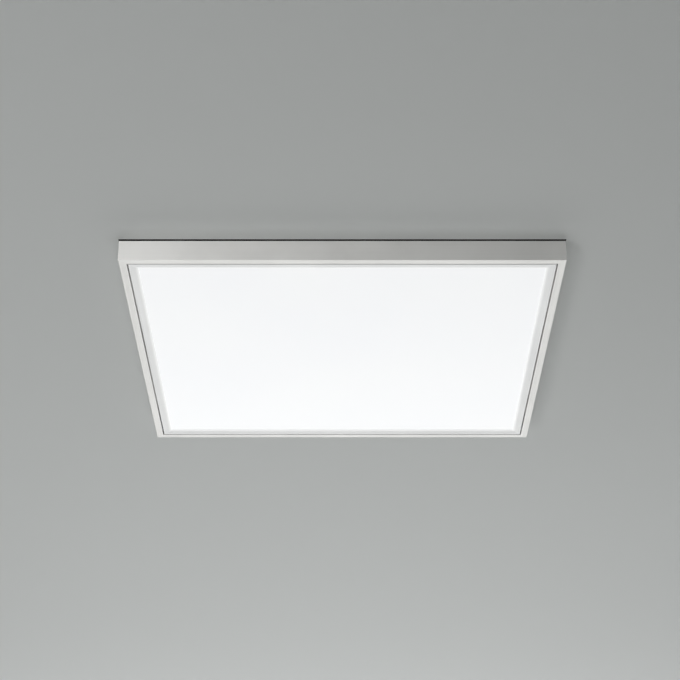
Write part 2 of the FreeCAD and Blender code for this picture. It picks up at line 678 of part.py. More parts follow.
def bracket(label, side, along, outline, screw_inset):
    """An angle screwed under the ceiling flange."""
    made = side_body(label, side, "0", along)
    section = new_sketch(made, "YZ_Plane")
    add_loop(section, outline)
    pad(made, section, "bracket_width", both_ways=True)
    holes = new_sketch(made, "XY_Plane", ("0", "0", flange_low))
    for sign in ("1", "-1"):
        add_circle(holes, f"{sign} * bracket_screw_spread", screw_inset, "back_screw_radius")
    pocket(made, holes, "2 * bracket_thick")
    return made


def pivot_bracket(side):
    """Angle that reaches down beside the panel and carries its pin."""
    plate_out = f"({bracket_face} - bracket_thick)"
    made = bracket("pivot_bracket_" + side, side, pivot_along[side], [
        (plate_out, "bracket_foot_level"), (bracket_face, "bracket_foot_level"), (bracket_face, foot_low),
        ("ceiling_flange_width", foot_low), ("ceiling_flange_width", flange_low), (plate_out, flange_low),
    ], pivot_screw_inset)
    hole = new_sketch(made, "XZ_Plane")
    add_circle(hole, "0", "pivot_level", "pin_radius + pin_play")
    pocket(made, hole, "strip_width")
    low = size("bracket_foot_level")
    dress(made, "Chamfer", "bracket_round",
          lambda edge: abs(edge.BoundBox.ZMax - low) < tiny and edge.BoundBox.XLength < tiny)
    return made


def pivot_pin(side):
    """Shouldered pin riveted into the panel's side wall."""
    pin = side_body("pivot_pin_" + side, side, "0", pivot_along[side])
    section = new_sketch(pin, "YZ_Plane", ("0", "pivot_level", "0"))
    tail = f"{bracket_face} - bracket_thick - pin_tail"
    shoulder = f"{bracket_face} + running_gap"
    seat = panel_inset
    end = f"{panel_inset} + panel_wall"
    add_loop(section, [
        (tail, "0"), (tail, "pin_radius"), (shoulder, "pin_radius"), (shoulder, "collar_radius"),
        (seat, "collar_radius"), (seat, "pin_radius"), (end, "pin_radius"), (end, "0"),
    ])
    made = pin.newObject("PartDesign::Revolution", "turned")
    made.Profile = section
    made.ReferenceAxis = (section, ["H_Axis"])
    made.Angle = 360
    doc.recompute()
    return pin


def pivot_clips():
    """Retaining clips on the outer ends of the pins."""
    clips = new_body("pivot_clips")
    for sign in ("1", "-1"):
        middle = f"({half_width} - ({bracket_face} - bracket_thick - running_gap - clip_thick / 2))"
        ring = new_sketch(clips, "YZ_Plane", ("0", "0", f"{sign} * {middle}"))
        add_circle(ring, pivot_place, "pivot_level", "clip_radius")
        add_circle(ring, pivot_place, "pivot_level", "pin_radius")
        pad(clips, ring, "clip_thick", both_ways=True)
    return clips


# ---- magnet catches ---------------------------------------------------------------------------

def catch_bracket(side):
    """Stepped angle that reaches over the front of the panel and carries a magnet."""
    arm_top = f"({catch_arm_level} + bracket_thick)"
    web = "ceiling_flange_width"
    reach = f"({panel_inset} + catch_inset + cup_radius + key_play)"
    near = f"{hook_out} + key_play"
    far_side = f"{web} + bracket_thick"
    made = bracket("catch_bracket_" + side, "front", catch_along[side], [
        (near, foot_low), (web, foot_low), (web, catch_arm_level), (reach, catch_arm_level),
        (reach, arm_top), (far_side, arm_top), (far_side, flange_low), (near, flange_low),
    ], "flange_screw_inset")
    far = size(reach)
    dress(made, "Chamfer", "bracket_round",
          lambda edge: is_upright(edge) and abs(edge.BoundBox.YMax - far) < tiny)
    return made


def bracket_screws():
    """Screws that hold the pivot and catch brackets under the flange."""
    places = []
    for shift in ("bracket_screw_spread", "-bracket_screw_spread"):
        for sign in ("1", "-1"):
            places.append((f"{sign} * ({half_width} - {pivot_screw_inset})", f"{pivot_place} + {shift}"))
            places.append((f"{sign} * {catch_place} + {shift}", f"flange_screw_inset - {half_depth}"))
    head_end = f"{foot_low} - back_head_height"
    return hexagon_screws("bracket_screws", places, foot_low, "frame_height", head_end,
                          "back_head_radius", "back_screw_radius")


def magnet_cups():
    cups = new_body("magnet_cups")
    low = f"{catch_arm_level} - cup_height"
    floor = f"{catch_arm_level} - cup_wall"
    inner = "cup_radius - cup_wall"
    profile = [
        ("0", floor), (inner, floor), (inner, low), ("cup_radius", low),
        ("cup_radius", catch_arm_level), ("0", catch_arm_level),
    ]
    for along in catch_along.values():
        turned(cups, profile, along, catch_depth)
    return cups


def magnets():
    discs = new_body("magnets")
    low = f"{catch_arm_level} - cup_height + running_gap"
    high = f"{catch_arm_level} - cup_wall"
    profile = [("0", low), ("cup_radius - cup_wall", low), ("cup_radius - cup_wall", high), ("0", high)]
    for along in catch_along.values():
        turned(discs, profile, along, catch_depth)
    return discs


def catch_plate(side):
    """Steel plate on the panel that meets the magnet."""
    plate = new_body("catch_plate_" + side, (catch_along[side], catch_depth))
    outline = new_sketch(plate, "XY_Plane", ("0", "0", panel_top))
    add_rectangle(outline, "0", "0", "catch_plate_size / 2", "catch_plate_size / 2")
    pad(plate, outline, "catch_plate_thick")
    dress(plate, "Chamfer", "catch_plate_clip", is_upright)
    return plate


# ---- gear tray, supply and driver ----------------------------------------------------------------

tray_screw_places = [(f"{x} * ({half_width} - flange_screw_inset)", f"{y} * tray_screw_spread")
                     for x in ("1", "-1") for y in ("1", "-1")]
clamp_reach = "(clamp_bore + clamp_thick + clamp_foot / 2)"
clamp_screw_places = [("clamp_place", f"{y} * {clamp_reach}") for y in ("1", "-1")]
block_screw_places = [("block_place", f"{y} * (block_width / 2 + block_ear / 2)") for y in ("1", "-1")]
driver_screw_reach = "(driver_length / 2 + driver_ear / 2)"
driver_screw_places = [(f"driver_place + {x} * {driver_screw_reach}", "0") for x in ("1", "-1")]
vent_places = ["driver_place - driver_length / 4", "driver_place + driver_length / 4",
               "driver_place + driver_length / 2 + driver_ear + tray_vent_length / 2"]


def gear_tray():
    """Sheet steel tray across the frame, its edges turned down beside the driver."""
    tray = new_body("gear_tray")
    plate = new_sketch(tray, "XY_Plane", ("0", "0", "frame_height"))
    add_rectangle(plate, "0", "0", f"{half_width} - ceiling_flange_width + tray_lap", tray_half_width)
    pad(tray, plate, "tray_thick")
    edges = new_sketch(tray, "XY_Plane", ("0", "0", "frame_height"))
    edge_end = f"({half_width} - ceiling_flange_width - tray_play)"
    for sign in ("1", "-1"):
        outer, inner = f"{sign} * {tray_half_width}", f"{sign} * ({tray_half_width} - tray_thick)"
        add_loop(edges, [
            ("tray_flange_start", inner), (edge_end, inner), (edge_end, outer), ("tray_flange_start", outer),
        ])
    pad(tray, edges, "tray_flange", other_way=True)
    holes = new_sketch(tray, "XY_Plane", ("0", "0", tray_top))
    add_circle(holes, "grommet_place", "0", "grommet_hole")
    add_circle(holes, "earth_place", "earth_offset", "plate_screw_radius")
    for x, y in tray_screw_places + clamp_screw_places + block_screw_places + driver_screw_places:
        add_circle(holes, x, y, "plate_screw_radius")
    half_straight = "tray_slot_length / 2 - tray_slot_radius"
    for sign in ("1", "-1"):
        add_slot(holes, f"{sign} * tray_slot_spread", "0", half_straight, "tray_slot_radius")
    for place in vent_places:
        add_slot(holes, place, "0", "(tray_vent_length - tray_vent_width) / 2", "tray_vent_width / 2")
    pocket(tray, holes, "2 * tray_thick")
    return tray


def cable_grommet():
    """Rubber grommet in the tray's cable hole, tapered inside so that it pushes in from above."""
    grommet = new_body("cable_grommet", ("grommet_place", "0"))
    low = "frame_height - grommet_skirt"
    top = "frame_height + shadow_gap"
    turned(grommet, [
        ("grommet_bore", low), ("(grommet_bore + grommet_hole) / 2", low), ("grommet_barb", "frame_height"),
        ("grommet_hole", "frame_height"), ("grommet_hole", tray_top), ("grommet_rim", tray_top),
        ("grommet_rim", top), ("grommet_bore", top),
    ])
    return grommet


def cable_clamp():
    """Saddle that presses the supply cable against the tray."""
    clamp = new_body("cable_clamp", ("clamp_place", "0"))
    outer = "(clamp_bore + clamp_thick)"
    centre = "(frame_height - clamp_bore)"
    arch = new_sketch(clamp, "YZ_Plane")
    add_circle(arch, "0", centre, outer)
    pad(clamp, arch, "clamp_width", both_ways=True)
    for wide, level in ((outer, centre), (f"({outer} + clamp_foot)", "(frame_height - clamp_thick)")):
        block = new_sketch(clamp, "YZ_Plane")
        left = f"-{wide}"
        add_loop(block, [(left, level), (wide, level), (wide, "frame_height"), (left, "frame_height")])
        pad(clamp, block, "clamp_width", both_ways=True)
    bore = new_sketch(clamp, "YZ_Plane")
    add_circle(bore, "0", centre, "clamp_bore")
    pocket(clamp, bore, "2 * clamp_width", both_ways=True)
    way = new_sketch(clamp, "YZ_Plane")
    above, face = "(frame_height + clamp_bore)", "frame_height"
    add_loop(way, [
        ("-clamp_bore", centre), ("clamp_bore", centre), ("clamp_bore", face), (outer, face),
        (outer, above), (f"-{outer}", above), (f"-{outer}", face), ("-clamp_bore", face),
    ])
    pocket(clamp, way, "2 * clamp_width", both_ways=True)
    holes = new_sketch(clamp, "XY_Plane", ("0", "0", "frame_height"))
    for sign in ("1", "-1"):
        add_circle(holes, "0", f"{sign} * {clamp_reach}", "plate_screw_radius")
    pocket(clamp, holes, "2 * clamp_thick")
    return clamp


poles = {"line": "-1", "neutral": "0", "earth": "1"}


def terminal_block():
    """Three-pole push-in terminal block: wire entries at both ends, a release button under each pole."""
    block = new_body("terminal_block", ("block_place", "0"))
    housing = new_sketch(block, "XY_Plane", ("0", "0", block_bottom))
    add_rectangle(housing, "0", "0", "block_length / 2", "block_width / 2")
    pad(block, housing, "block_height")
    ears = new_sketch(block, "XY_Plane", ("0", "0", "frame_height - block_ear_thick"))
    add_rectangle(ears, "0", "0", "block_ear_width / 2", "block_width / 2 + block_ear")
    pad(block, ears, "block_ear_thick")
    corner = size("block_length / 2")
    dress(block, "Chamfer", "block_clip",
          lambda edge: is_upright(edge) and abs(abs(edge.BoundBox.XMax) - corner) < tiny)
    holes = new_sketch(block, "XY_Plane", ("0", "0", "frame_height"))
    for x, y in block_screw_places:
        add_circle(holes, "0", y, "plate_screw_radius")
    pocket(block, holes, "2 * block_ear_thick")
    wells = new_sketch(block, "XY_Plane", ("0", "0", block_bottom))
    for pole in poles.values():
        half = "button_side / 2 + running_gap"
        add_rectangle(wells, "0", f"{pole} * pole_pitch", half, half)
    pocket(block, wells, "button_sunk + button_travel + well_spare", other_way=True)
    for end, backwards in (("-1", True), ("1", False)):
        entries = new_sketch(block, "YZ_Plane", ("0", "0", f"{end} * block_length / 2"))
        level = "frame_height - wire_entry_level"
        for pole in poles.values():
            add_circle(entries, f"{pole} * pole_pitch", level, "wire_entry_radius")
        pocket(block, entries, "wire_entry_depth", other_way=backwards)
    return block


def release_button(name):
    """Sprung button that opens the clamp of one pole; a slot takes a screwdriver."""
    button = new_body("release_button_" + name, ("block_place", f"{poles[name]} * pole_pitch"))
    low = f"({block_bottom} - button_stand)"
    outline = new_sketch(button, "XY_Plane", ("0", "0", low))
    add_rectangle(outline, "0", "0", "button_side / 2", "button_side / 2")
    pad(button, outline, "button_stand + button_sunk")
    level = size(low)
    dress(button, "Chamfer", "button_clip", lambda edge: edge.BoundBox.ZMax < level + tiny)
    slot = new_sketch(button, "XY_Plane", ("0", "0", low))
    add_rectangle(slot, "0", "0", "button_slot / 2", "button_side")
    pocket(button, slot, "button_slot", other_way=True)
    return button


def driver_case():
    """Upper shell of the driver with its two fixing ears."""
    case = new_body("driver_case", ("driver_place", "0"))
    outline = new_sketch(case, "XY_Plane", ("0", "0", case_bottom))
    add_rectangle(outline, "0", "0", "driver_length / 2", "driver_width / 2")
    pad(case, outline, f"frame_height - {case_bottom}")
    dress(case, "Fillet", "driver_round", is_upright)
    ears = new_sketch(case, "XY_Plane", ("0", "0", "frame_height - driver_ear_thick"))
    add_rectangle(ears, "0", "0", "driver_length / 2 + driver_ear", "driver_ear_width / 2")
    pad(case, ears, "driver_ear_thick")
    holes = new_sketch(case, "XY_Plane", ("0", "0", "frame_height"))
    for sign in ("1", "-1"):
        add_circle(holes, f"{sign} * {driver_screw_reach}", "0", "plate_screw_radius")
    pocket(case, holes, "2 * driver_ear_thick")
    return case


def driver_lid():
    """Lower lid between the two terminal covers, with pressed cooling ribs."""
    lid = new_body("driver_lid", ("driver_place", "0"))
    outline = new_sketch(lid, "XY_Plane", ("0", "0", driver_bottom))
    half = "(driver_length / 2 - driver_cover_length - running_gap)"
    add_rectangle(outline, "0", "0", half, "driver_width / 2")
    pad(lid, outline, "driver_lid_height")
    low = size(driver_bottom)
    dress(lid, "Chamfer", "rib_depth",
          lambda edge: edge.BoundBox.ZMax < low + tiny and edge.BoundBox.YLength < tiny)
    groove = new_sketch(lid, "XY_Plane", ("0", "0", driver_bottom))
    add_rectangle(groove, f"-{half} + rib_margin", "0", "rib_depth", "driver_width / 2 - driver_round")
    first = pocket(lid, groove, "rib_depth", other_way=True)
    row = lid.newObject("PartDesign::LinearPattern", "row")
    row.Originals = [first]
    row.Direction = (next(f for f in lid.Origin.OriginFeatures if f.Role == "X_Axis"), [""])
    row.setExpression("Length", of_sheet(f"2 * ({half} - rib_margin)"))
    row.Occurrences = rib_groove_count
    lid.Tip = row
    doc.recompute()
    return lid


cover_reach = "(driver_length / 2 - driver_cover_length / 2)"


def driver_cover(end):
    """Screwed cover over the driver's terminals at one end."""
    sign = {"supply": "-1", "output": "1"}[end]
    cover = new_body("driver_cover_" + end, (f"driver_place + {sign} * {cover_reach}", "0"))
    outline = new_sketch(cover, "XY_Plane", ("0", "0", driver_bottom))
    add_rectangle(outline, "0", "0", "driver_cover_length / 2", "driver_width / 2")
    pad(cover, outline, "driver_lid_height")
    outer = size("driver_cover_length / 2") * size(sign)
    dress(cover, "Fillet", "driver_round",
          lambda edge: is_upright(edge) and abs(edge.BoundBox.XMin - outer) < tiny)
    holes = new_sketch(cover, "XY_Plane", ("0", "0", f"{driver_bottom} + driver_lid_height"))
    for side in ("1", "-1"):
        add_circle(holes, "0", f"{side} * driver_cover_spread", "back_screw_radius")
    pocket(cover, holes, "2 * driver_lid_height")
    return cover


def driver_cover_screws():
    places = [(f"driver_place + {end} * {cover_reach}", f"{side} * driver_cover_spread")
              for end in ("1", "-1") for side in ("1", "-1")]
    return hexagon_screws("driver_cover_screws", places, driver_bottom, case_bottom,
                          f"{driver_bottom} - back_head_height", "back_head_radius", "back_screw_radius")


# ---- build, check and write ---------------------------------------------------------------------

parts = [frame_rail(side) for side in sides]
parts += [corner_key(name) for name in corners]
parts.append(corner_key_screws())
parts += [corner_gusset(name) for name in corners]
parts.append(gusset_screws())

parts += [panel_rail(side) for side in sides]
parts.append(panel_corner_keys())
parts.append(sheet_layer("diffuser", "diffuser_inset", lip_top, "diffuser_thick"))
parts.append(sheet_layer("light_guide", "guide_inset", guide_level, "guide_thick"))
parts.append(sheet_layer("reflector_film", "guide_inset", film_level, "film_thick"))
foam_thick = f"{back_level} - {film_top}"
parts.append(sheet_layer("foam_pad", "panel_flange_width + foam_play", film_top, foam_thick))
for side in ("front", "rear"):
    parts += [led_board(side), led_chips(side)]
parts += [back_plate(), back_plate_screws(), inlet_socket()]

for side in ("left", "right"):
    parts += [pivot_bracket(side), pivot_pin(side)]
parts.append(pivot_clips())
for side in ("left", "right"):
    parts += [catch_bracket(side), catch_plate(side)]
parts += [bracket_screws(), magnet_cups(), magnets()]

parts += [gear_tray(), cable_grommet(), cable_clamp(), terminal_block()]
for label, places, seat in (
        ("tray_screws", tray_screw_places, flange_low),
        ("cable_clamp_screws", clamp_screw_places, "frame_height - clamp_thick"),
        ("terminal_block_screws", block_screw_places, "frame_height - block_ear_thick"),
        ("earth_screw", [("earth_place", "earth_offset")], "frame_height"),
        ("driver_screws", driver_screw_places, "frame_height - driver_ear_thick")):
    parts.append(hexagon_screws(label, places, seat, tray_top, f"{seat} - plate_head_height"))
parts += [release_button(name) for name in poles]
parts += [driver_case(), driver_lid(), driver_cover("supply"), driver_cover("output"), driver_cover_screws()]

doc.recompute()
for thing in doc.Objects:
    if {"Invalid", "Error"} & set(thing.State):
        raise RuntimeError(thing.Name + " failed")
for part in parts:
    if part.Shape.isNull() or not part.Shape.isValid() or part.Shape.Volume <= 0:
        raise RuntimeError(part.Label + " has no sound shape")

os.makedirs("parts", exist_ok=True)
for part in parts:
    part.Shape.exportStep("parts/%s.step" % part.Label)
print(len(parts), "parts written")
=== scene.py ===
import json
import math

import bmesh
import bpy
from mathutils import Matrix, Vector


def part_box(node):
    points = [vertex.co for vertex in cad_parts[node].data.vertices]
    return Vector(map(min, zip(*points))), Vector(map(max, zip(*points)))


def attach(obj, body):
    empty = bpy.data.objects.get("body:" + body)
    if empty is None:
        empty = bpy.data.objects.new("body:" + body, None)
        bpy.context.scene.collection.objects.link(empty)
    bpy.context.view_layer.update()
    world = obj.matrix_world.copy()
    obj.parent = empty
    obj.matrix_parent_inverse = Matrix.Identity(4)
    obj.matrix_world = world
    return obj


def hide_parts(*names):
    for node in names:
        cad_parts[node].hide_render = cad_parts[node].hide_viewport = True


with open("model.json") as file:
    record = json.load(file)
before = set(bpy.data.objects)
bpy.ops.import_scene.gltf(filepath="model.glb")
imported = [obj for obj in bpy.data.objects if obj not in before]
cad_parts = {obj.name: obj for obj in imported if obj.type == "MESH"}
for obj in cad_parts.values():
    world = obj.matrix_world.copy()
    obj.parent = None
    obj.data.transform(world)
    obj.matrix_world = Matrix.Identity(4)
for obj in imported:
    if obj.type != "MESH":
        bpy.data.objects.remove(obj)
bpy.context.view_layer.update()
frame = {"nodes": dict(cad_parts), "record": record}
print("frame loaded:", len(frame["nodes"]), "nodes")

mm = 0.001
bodyOf = {node: body for body, nodes in frame["record"]["behaviour"]["bodies"].items() for node in nodes}
slotOf = {part["node"]: part["material_slot"] for part in frame["record"]["subparts"]}
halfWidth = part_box("frame_rail_front")[1].x       # from the middle to the outer face of the frame
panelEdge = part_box("panel_rail_right")[1].x       # from the middle to the outer face of the panel
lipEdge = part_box("panel_rail_right")[0].x         # from the middle to the inner edge of the panel's slope


# sRGB hex to the linear values that shaders take
def toLinear(hexColour):
    channels = [int(hexColour[i:i + 2], 16) / 255 for i in (1, 3, 5)]
    return tuple(c / 12.92 if c <= 0.04045 else ((c + 0.055) / 1.055) ** 2.4 for c in channels) + (1.0,)


# gives inputs of a node their values or links; a list is several links to one input
def feed(tree, node, inputs):
    for name, value in inputs.items():
        several = value if isinstance(value, list) else [value]
        if isinstance(several[0], bpy.types.NodeSocket):
            for socket in several:
                tree.links.new(socket, node.inputs[name])
        else:
            node.inputs[name].default_value = value


# adds a node with its settings, values and links
def addNode(tree, kind, inputs=None, **settings):
    node = tree.nodes.new(kind)
    for name, value in settings.items():
        setattr(node, name, value)
    feed(tree, node, inputs or {})
    return node


# an empty material with its shader; fixed values go straight onto the shader's sockets
def newMaterial(name, **fixed):
    material = bpy.data.materials.new(name)
    material.use_nodes = True
    tree = material.node_tree
    tree.nodes.clear()
    shader = addNode(tree, "ShaderNodeBsdfPrincipled", {key.replace("_", " "): fixed[key] for key in fixed})
    addNode(tree, "ShaderNodeOutputMaterial", {"Surface": shader.outputs["BSDF"]})
    return material, tree, shader


# most of a noise lies between these values: the first for broad drifts, the second for fine grain
broadSpan = (0.35, 0.65)
fineSpan = (0.3, 0.7)


# The common finish: a colour that drifts between two tones over a broad size, and a roughness and a relief
# that follow a fine grain. Grain, relief and drift are in millimetres. A small stretch on x, y or z draws
# the grain out that way.
def grainFinish(name, tones, roughness, grain, relief, drift, stretch=(1, 1, 1), **fixed):
    material, tree, shader = newMaterial(name, **fixed)
    place = addNode(tree, "ShaderNodeTexCoord")
    stretched = addNode(tree, "ShaderNodeMapping", {"Vector": place.outputs["Object"], "Scale": stretch})
    fine = addNode(tree, "ShaderNodeTexNoise", {
        "Vector": stretched.outputs["Vector"], "Scale": 1000 / grain, "Detail": 2.0})
    broad = addNode(tree, "ShaderNodeTexNoise", {
        "Vector": place.outputs["Object"], "Scale": 1000 / drift, "Detail": 3.0})
    tone = addNode(tree, "ShaderNodeMapRange", {
        "Value": broad.outputs["Fac"], "From Min": broadSpan[0], "From Max": broadSpan[1]})
    colour = addNode(tree, "ShaderNodeMix", {
        0: tone.outputs["Result"], 6: toLinear(tones[0]), 7: toLinear(tones[1])}, data_type="RGBA")
    rough = addNode(tree, "ShaderNodeMapRange", {
        "Value": fine.outputs["Fac"], "From Min": fineSpan[0], "From Max": fineSpan[1],
        "To Min": roughness[0], "To Max": roughness[1]})
    bump = addNode(tree, "ShaderNodeBump", {
        "Height": fine.outputs["Fac"], "Distance": relief * mm, "Strength": 1.0})
    feed(tree, shader, {"Base Color": colour.outputs[2], "Roughness": rough.outputs["Result"],
                        "Normal": bump.outputs["Normal"]})
    return material, tree, shader


# The finish of sheets made of cells or crystals: each cell has its own tone and roughness, and the relief
# follows the cells. Cell and relief are in millimetres.
def cellFinish(name, tones, roughness, cell, relief, **fixed):
    material, tree, shader = newMaterial(name, **fixed)
    place = addNode(tree, "ShaderNodeTexCoord")
    cells = addNode(tree, "ShaderNodeTexVoronoi", {"Vector": place.outputs["Object"], "Scale": 1000 / cell})
    parts = addNode(tree, "ShaderNodeSeparateColor", {"Color": cells.outputs["Color"]})
    colour = addNode(tree, "ShaderNodeMix", {
        0: parts.outputs["Red"], 6: toLinear(tones[0]), 7: toLinear(tones[1])}, data_type="RGBA")
    rough = addNode(tree, "ShaderNodeMapRange", {
        "Value": parts.outputs["Green"], "To Min": roughness[0], "To Max": roughness[1]})
    bump = addNode(tree, "ShaderNodeBump", {
        "Height": cells.outputs["Distance"], "Distance": relief * mm, "Strength": 1.0})
    feed(tree, shader, {"Base Color": colour.outputs[2], "Roughness": rough.outputs["Result"],
                        "Normal": bump.outputs["Normal"]})
    return material, tree, shader


# how far a point lies from the middle of the light, measured in squares and not in circles
def edgeReach(tree):
    place = addNode(tree, "ShaderNodeTexCoord")
    axes = addNode(tree, "ShaderNodeSeparateXYZ", {"Vector": place.outputs["Object"]})
    across = addNode(tree, "ShaderNodeMath", {0: axes.outputs["X"]}, operation="ABSOLUTE")
    deep = addNode(tree, "ShaderNodeMath", {0: axes.outputs["Y"]}, operation="ABSOLUTE")
    reach = addNode(tree, "ShaderNodeMath", {0: across.outputs[0], 1: deep.outputs[0]}, operation="MAXIMUM")
    return reach.outputs[0]


# Anodised aluminium, extruded, etched and anodised in its own colour: a soft silver with a broad, milky
# highlight and faint die lines along the rail. Real die lines are finer; these are 1.6 mm apart to show.
# Spacing, height, cloud size and where the painted glow on the slope starts, from the panel's outer face, are
# in millimetres.
anodised = {
    "metallic": 0.6, "roughness": (0.54, 0.64),
    "dieLineSpacing": 1.6, "dieLineHeight": 0.004, "cloudSize": 60.0,
    "frameTones": ("#d8d7d5", "#d3d2d0"), "bezelTones": ("#d6d6d6", "#d2d2d2"),
    "glowStart": 7.5, "glowFall": 2.2, "glowStrength": 0.30,
}
railStretch = {"across": (0.006, 1, 1), "deep": (1, 0.006, 1)}


def anodisedAluminium(direction, piece="frame"):
    return grainFinish(
        f"anodised aluminium {piece}, {direction}", anodised[piece + "Tones"], anodised["roughness"],
        anodised["dieLineSpacing"], anodised["dieLineHeight"], anodised["cloudSize"],
        railStretch[direction], Metallic=anodised["metallic"])


# painted glow: the slope next to the opal sheet gets an emission that grows towards the sheet, standing in
# for light from the sheet's edge
def anodisedBezel(direction):
    material, tree, shader = anodisedAluminium(direction, "bezel")
    slope = addNode(tree, "ShaderNodeMapRange", {
        "Value": edgeReach(tree), "From Min": panelEdge - anodised["glowStart"] * mm, "From Max": lipEdge,
        "To Min": 0.0, "To Max": 1.0})
    glow = addNode(tree, "ShaderNodeMath", {
        0: slope.outputs["Result"], 1: anodised["glowFall"]}, operation="POWER")
    strength = addNode(tree, "ShaderNodeMath", {
        0: glow.outputs[0], 1: anodised["glowStrength"]}, operation="MULTIPLY")
    # the painted glow: white emission on the slope, which is no lamp
    feed(tree, shader, {"Emission Strength": strength.outputs[0], "Emission Color": toLinear("#ffffff")})
    return material, tree, shader


# Opal acrylic, extruded with a matt face and switched on: an even white glow with no lamp showing through.
# Grain, relief and drift are in millimetres.
opal = {
    "tones": ("#c9caca", "#c7c8c9"), "roughness": (0.42, 0.48), "grain": 0.9, "relief": 0.004, "drift": 250.0,
    "glowTones": ("#ffffff", "#fafbff"), "glowStrength": 0.50,
}


def opalAcrylic():
    material, tree, shader = grainFinish(
        "opal acrylic", opal["tones"], opal["roughness"], opal["grain"], opal["relief"], opal["drift"],
        IOR=1.49, Emission_Strength=opal["glowStrength"])
    place = addNode(tree, "ShaderNodeTexCoord")
    drift = addNode(tree, "ShaderNodeTexNoise", {
        "Vector": place.outputs["Object"], "Scale": 1000 / opal["drift"]})
    first, second = opal["glowTones"]
    glow = addNode(tree, "ShaderNodeMix", {
        0: drift.outputs["Fac"], 6: toLinear(first), 7: toLinear(second)}, data_type="RGBA")
    feed(tree, shader, {"Emission Color": glow.outputs[2]})
    return material, tree, shader


# one finish for each material slot; the anodised rails that run from front to rear have their own
finishes = {
    "anodised_frame": anodisedAluminium("across"),
    "anodised_frame_deep": anodisedAluminium("deep"),
    "anodised_panel_frame": anodisedBezel("across"),
    "anodised_panel_frame_deep": anodisedBezel("deep"),
    # sheet steel galvanised in a bath, then cut and folded: grey zinc crystals a few millimetres wide
    "zinc_steel": cellFinish(
        "galvanised sheet steel", tones=("#b3b7ba", "#c8cbcd"), roughness=(0.33, 0.46), cell=6.5,
        relief=0.02, Metallic=1.0),
    # cold-headed steel with bright zinc plating: clean and slightly blue, with small glints
    "screw_steel": grainFinish(
        "bright zinc-plated steel", tones=("#c9ccd0", "#b4b8be"), roughness=(0.24, 0.34), grain=0.4,
        relief=0.008, drift=5.0, Metallic=1.0),
    # turned brass, left bare: warm yellow with fine turning marks
    "brass": grainFinish(
        "turned brass", tones=("#d8bc76", "#c6a65e"), roughness=(0.24, 0.34), grain=0.4,
        relief=0.008, drift=5.0, Metallic=1.0),
    # deep-drawn steel cup and pressed magnet, both nickel-plated: warmer and duller than zinc
    "magnet_cup_steel": grainFinish(
        "nickel-plated drawn steel", tones=("#cfccc5", "#c0bdb6"), roughness=(0.26, 0.34), grain=0.5,
        relief=0.006, drift=8.0, Metallic=1.0),
    "magnet": grainFinish(
        "nickel-plated magnet", tones=("#bab9b7", "#a9a8a6"), roughness=(0.30, 0.40), grain=0.5,
        relief=0.01, drift=6.0, Metallic=1.0),
    # moulded rubber: nearly black and dull, with a little bloom
    "grommet_rubber": grainFinish(
        "moulded rubber", tones=("#272727", "#1d1d1e"), roughness=(0.66, 0.80), grain=0.5,
        relief=0.03, drift=8.0, IOR=1.52),
    # moulded plastics with a spark-eroded face: even colour, soft sheen, fine grain
    "white_nylon": grainFinish(
        "moulded white nylon", tones=("#dedcd6", "#d6d4cd"), roughness=(0.44, 0.56), grain=0.5,
        relief=0.02, drift=30.0, IOR=1.53),
    "white_polycarbonate": grainFinish(
        "moulded white polycarbonate", tones=("#e5e6e6", "#dfe0e0"), roughness=(0.34, 0.46), grain=0.6,
        relief=0.02, drift=60.0, IOR=1.58),
    "button_orange": grainFinish(
        "moulded orange nylon", tones=("#ea7620", "#de6b18"), roughness=(0.34, 0.46), grain=0.5,
        relief=0.015, drift=4.0, IOR=1.53),
    "button_green": grainFinish(
        "moulded green nylon", tones=("#4fa24b", "#459541"), roughness=(0.34, 0.46), grain=0.5,
        relief=0.015, drift=4.0, IOR=1.53),
    "black_inlet": grainFinish(
        "moulded black polyester", tones=("#202122", "#17181a"), roughness=(0.32, 0.44), grain=0.5,
        relief=0.02, drift=10.0, IOR=1.55),
    # white polyester powder, sprayed on sheet steel and baked: half matt with a slight orange peel
    "back_plate_white": grainFinish(
        "white powder coat", tones=("#e4e5e4", "#dfe0df"), roughness=(0.38, 0.48), grain=2.4,
        relief=0.03, drift=110.0, IOR=1.50),
    "opal_diffuser": opalAcrylic(),
    # cast acrylic with polished edges: clear, with a trace of green in its depth
    "clear_guide": grainFinish(
        "polished cast acrylic", tones=("#f3f8f6", "#e8f0ec"), roughness=(0.03, 0.10), grain=1.5,
        relief=0.001, drift=40.0, IOR=1.49, Transmission_Weight=0.9),
    # white polyester film: smooth, bright and slightly silky
    "white_film": cellFinish(
        "white polyester film", tones=("#f2f2f2", "#ececec"), roughness=(0.45, 0.55), cell=2.0,
        relief=0.002),
    # closed-cell polyethylene foam, cut from a roll: matt, with small cut cells
    "foam": cellFinish(
        "closed-cell foam", tones=("#ededea", "#dadad6"), roughness=(0.85, 0.95), cell=1.2,
        relief=0.15),
    # white solder mask on an aluminium board: glossy paint with a slight unevenness
    "led_board": cellFinish(
        "white solder mask", tones=("#f0f0ee", "#e8e8e6"), roughness=(0.30, 0.38), cell=3.0,
        relief=0.006),
    # phosphor cast in silicone: opaque yellow, matt
    "led_phosphor": grainFinish(
        "phosphor in silicone", tones=("#e8cf6a", "#dcc055"), roughness=(0.45, 0.6), grain=0.4,
        relief=0.02, drift=1.0, IOR=1.41),
}
materials = {slot: parts[0] for slot, parts in finishes.items()}
print("materials:", len(materials))


